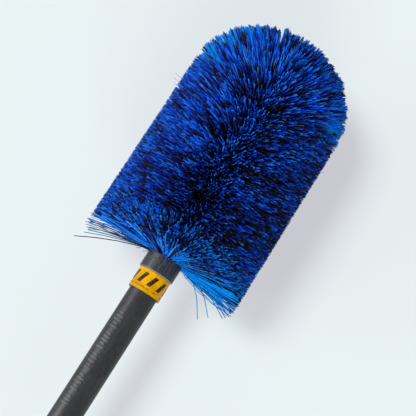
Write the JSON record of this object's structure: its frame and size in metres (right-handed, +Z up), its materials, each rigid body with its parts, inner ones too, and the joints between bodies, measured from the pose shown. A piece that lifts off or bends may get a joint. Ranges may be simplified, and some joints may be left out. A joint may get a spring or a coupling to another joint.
{
  "type": "wheel cleaning brush",
  "caption": "Cylindrical twisted-wire wheel brush with a domed tip of blue filaments, a flexible stem and a slim dark handle with a hanging eye.",
  "frame": {"origin": "centre of the bounding box at the plane the brush lies on", "axes": "+X along the brush axis from the hanging eye to the domed tip, +Z up, along the hanging hole"},
  "size_m": [0.456, 0.127, 0.1255],
  "materials": {
    "handle_plastic": "satin moulded plastic, dark grey",
    "ferrule_plastic": "satin moulded plastic, dark grey",
    "label_film": "printed film, amber yellow, semi-gloss",
    "cap_plastic": "satin moulded plastic, dark grey",
    "bush_rubber": "soft black rubber",
    "anchor_plastic": "natural moulded plastic",
    "sleeve_steel": "drawn steel",
    "pin_steel": "ground steel",
    "stem_wire": "galvanised spring wire",
    "tip_rubber": "soft rubber, dark blue",
    "filament": "crimped nylon filament, royal blue and black"
  },
  "bodies": {
    "handle": {"handle_tube": "handle_plastic", "ferrule": "ferrule_plastic", "label_band": "label_film", "end_cap": "cap_plastic", "mouth_bush": "bush_rubber", "stem_anchor": "anchor_plastic", "crimp_sleeve": "sleeve_steel", "retaining_pin_left": "pin_steel", "retaining_pin_right": "pin_steel", "stem_strand_a": "stem_wire", "stem_strand_b": "stem_wire", "filament_row_00": "filament"},
    "head_1": {"filament_row_01": "filament", "filament_row_02": "filament"},
    "head_2": {"filament_row_03": "filament", "filament_row_04": "filament"},
    "head_3": {"filament_row_05": "filament", "filament_row_06": "filament"},
    "head_4": {"filament_row_07": "filament", "filament_row_08": "filament"},
    "head_5": {"filament_row_09": "filament", "filament_row_10": "filament"},
    "head_tip": {"fan_row_1": "filament", "fan_row_2": "filament", "fan_row_3": "filament", "fan_row_4": "filament", "tip_tuft": "filament", "tip_cap": "tip_rubber"}
  },
  "joints": [
    {"name": "stem_flex_1", "type": "hinge", "parent": "handle", "child": "head_1", "pos_m": [0.03905, 0, 0.062], "axis": [0, 1, 0], "range_deg": [-5, 5], "stiffness_Nm_per_rad": 60, "deforming": ["stem_strand_a", "stem_strand_b"]},
    {"name": "stem_flex_2", "type": "hinge", "parent": "head_1", "child": "head_2", "pos_m": [0.06405, 0, 0.062], "axis": [0, 0, 1], "range_deg": [-5, 5], "stiffness_Nm_per_rad": 60, "deforming": ["stem_strand_a", "stem_strand_b"]},
    {"name": "stem_flex_3", "type": "hinge", "parent": "head_2", "child": "head_3", "pos_m": [0.08905, 0, 0.062], "axis": [0, 1, 0], "range_deg": [-5, 5], "stiffness_Nm_per_rad": 60, "deforming": ["stem_strand_a", "stem_strand_b"]},
    {"name": "stem_flex_4", "type": "hinge", "parent": "head_3", "child": "head_4", "pos_m": [0.11405, 0, 0.062], "axis": [0, 0, 1], "range_deg": [-5, 5], "stiffness_Nm_per_rad": 60, "deforming": ["stem_strand_a", "stem_strand_b"]},
    {"name": "stem_flex_5", "type": "hinge", "parent": "head_4", "child": "head_5", "pos_m": [0.13905, 0, 0.062], "axis": [0, 1, 0], "range_deg": [-5, 5], "stiffness_Nm_per_rad": 60, "deforming": ["stem_strand_a", "stem_strand_b"]},
    {"name": "stem_flex_6", "type": "hinge", "parent": "head_5", "child": "head_tip", "pos_m": [0.16405, 0, 0.062], "axis": [0, 0, 1], "range_deg": [-5, 5], "stiffness_Nm_per_rad": 60, "deforming": ["stem_strand_a", "stem_strand_b"]}
  ],
  "couplings": [
    {"joint": "stem_flex_3", "follows": "stem_flex_1", "ratio": 1},
    {"joint": "stem_flex_4", "follows": "stem_flex_2", "ratio": 1},
    {"joint": "stem_flex_5", "follows": "stem_flex_1", "ratio": 1},
    {"joint": "stem_flex_6", "follows": "stem_flex_2", "ratio": 1}
  ]
}
